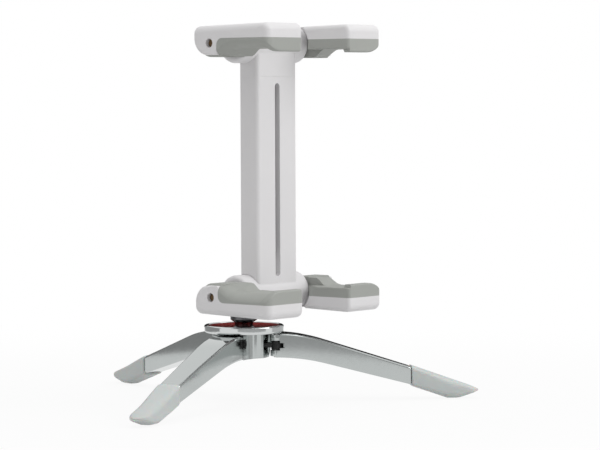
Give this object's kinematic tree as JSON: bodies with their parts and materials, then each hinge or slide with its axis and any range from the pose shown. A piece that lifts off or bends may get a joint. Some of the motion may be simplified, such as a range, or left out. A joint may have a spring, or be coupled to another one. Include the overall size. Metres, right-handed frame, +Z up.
{
  "type": "phone tripod",
  "caption": "Small folding tripod for a phone: a spring clamp with folding arms on a ball head, over splayed folding legs with rubber feet.",
  "frame": {"origin": "point of the surface that it stands on, straight under the ball's centre", "axes": "+Z up along the closed clamp; X along the clamp's width, from the left arms to the right arms; a phone goes in from -Y"},
  "size_m": [0.0947, 0.0938, 0.0885],
  "materials": {
    "legs_chrome": "polished, softly mirror-like",
    "ring_chrome": "polished",
    "dish_red": "dark red anodised, satin",
    "black_plastic": "matt black",
    "foot_rubber": "pale grey-white, slightly translucent",
    "pin_steel": "plain",
    "stud_steel": "turned",
    "disc_rubber": "matt black",
    "insert_brass": "turned",
    "white_plastic": "satin white, moulded",
    "bar_plastic": "matt grey",
    "pin_bronze": "dark bronze",
    "pad_rubber": "matt light grey, moulded"
  },
  "bodies": {
    "stand": {"hub": "legs_chrome", "trim_ring": "ring_chrome", "dish": "dish_red", "base_plug": "black_plastic", "front_foot": "foot_rubber", "left_leg_pin": "pin_steel", "right_leg_pin": "pin_steel"},
    "left_leg": {"left_leg": "legs_chrome", "left_foot": "foot_rubber"},
    "right_leg": {"right_leg": "legs_chrome", "right_foot": "foot_rubber"},
    "seat": {"ball_seat": "black_plastic"},
    "ball": {"ball_stud": "stud_steel", "friction_disc": "disc_rubber"},
    "clamp": {"thread_insert": "insert_brass", "bottom_knuckle": "white_plastic", "column_front": "white_plastic", "column_back": "white_plastic", "column_screws": "pin_steel", "bottom_hinge_pin": "pin_bronze", "grip_spring": "pin_steel"},
    "slider": {"slider_bar": "bar_plastic", "spring_pin": "pin_steel", "top_knuckle": "white_plastic", "top_hinge_pin": "pin_bronze"},
    "top_left_jaw": {"top_left_arm": "white_plastic", "top_left_pad": "pad_rubber"},
    "top_right_jaw": {"top_right_arm": "white_plastic", "top_right_pad": "pad_rubber"},
    "bottom_left_jaw": {"bottom_left_arm": "white_plastic", "bottom_left_pad": "pad_rubber"},
    "bottom_right_jaw": {"bottom_right_arm": "white_plastic", "bottom_right_pad": "pad_rubber"}
  },
  "joints": [
    {"name": "left_leg_fold", "type": "hinge", "parent": "stand", "child": "left_leg", "pos_m": [-0.00013, 0.00776, 0.01325], "axis": [0, 0, 1], "range_deg": [0, 120]},
    {"name": "right_leg_fold", "type": "hinge", "parent": "stand", "child": "right_leg", "pos_m": [0.00401, -0.00665, 0.01325], "axis": [0, 0, -1], "range_deg": [0, 120]},
    {"name": "ball_turn", "type": "hinge", "parent": "stand", "child": "seat", "pos_m": [0, 0, 0.0149], "axis": [0, 0, 1], "continuous": true},
    {"name": "ball_tilt", "type": "hinge", "parent": "seat", "child": "ball", "pos_m": [0, 0, 0.0149], "axis": [1, 0, 0], "range_deg": [-15, 15]},
    {"name": "clamp_turn", "type": "hinge", "parent": "ball", "child": "clamp", "pos_m": [0, 0, 0.024], "axis": [0, 0, 1], "continuous": true},
    {"name": "jaw_slide", "type": "slide", "parent": "clamp", "child": "slider", "axis": [0, 0, 1], "range_m": [0, 0.035], "stiffness_N_per_m": 150, "springref_m": -0.02, "deforming": ["grip_spring"]},
    {"name": "top_left_arm_fold", "type": "hinge", "parent": "slider", "child": "top_left_jaw", "pos_m": [0, -0.0078, 0.084], "axis": [1, 0, 0], "range_deg": [0, 90]},
    {"name": "top_right_arm_fold", "type": "hinge", "parent": "slider", "child": "top_right_jaw", "pos_m": [0, -0.0078, 0.084], "axis": [1, 0, 0], "range_deg": [0, 90]},
    {"name": "bottom_left_arm_fold", "type": "hinge", "parent": "clamp", "child": "bottom_left_jaw", "pos_m": [0, -0.0078, 0.026], "axis": [-1, 0, 0], "range_deg": [0, 90]},
    {"name": "bottom_right_arm_fold", "type": "hinge", "parent": "clamp", "child": "bottom_right_jaw", "pos_m": [0, -0.0078, 0.026], "axis": [-1, 0, 0], "range_deg": [0, 90]}
  ]
}
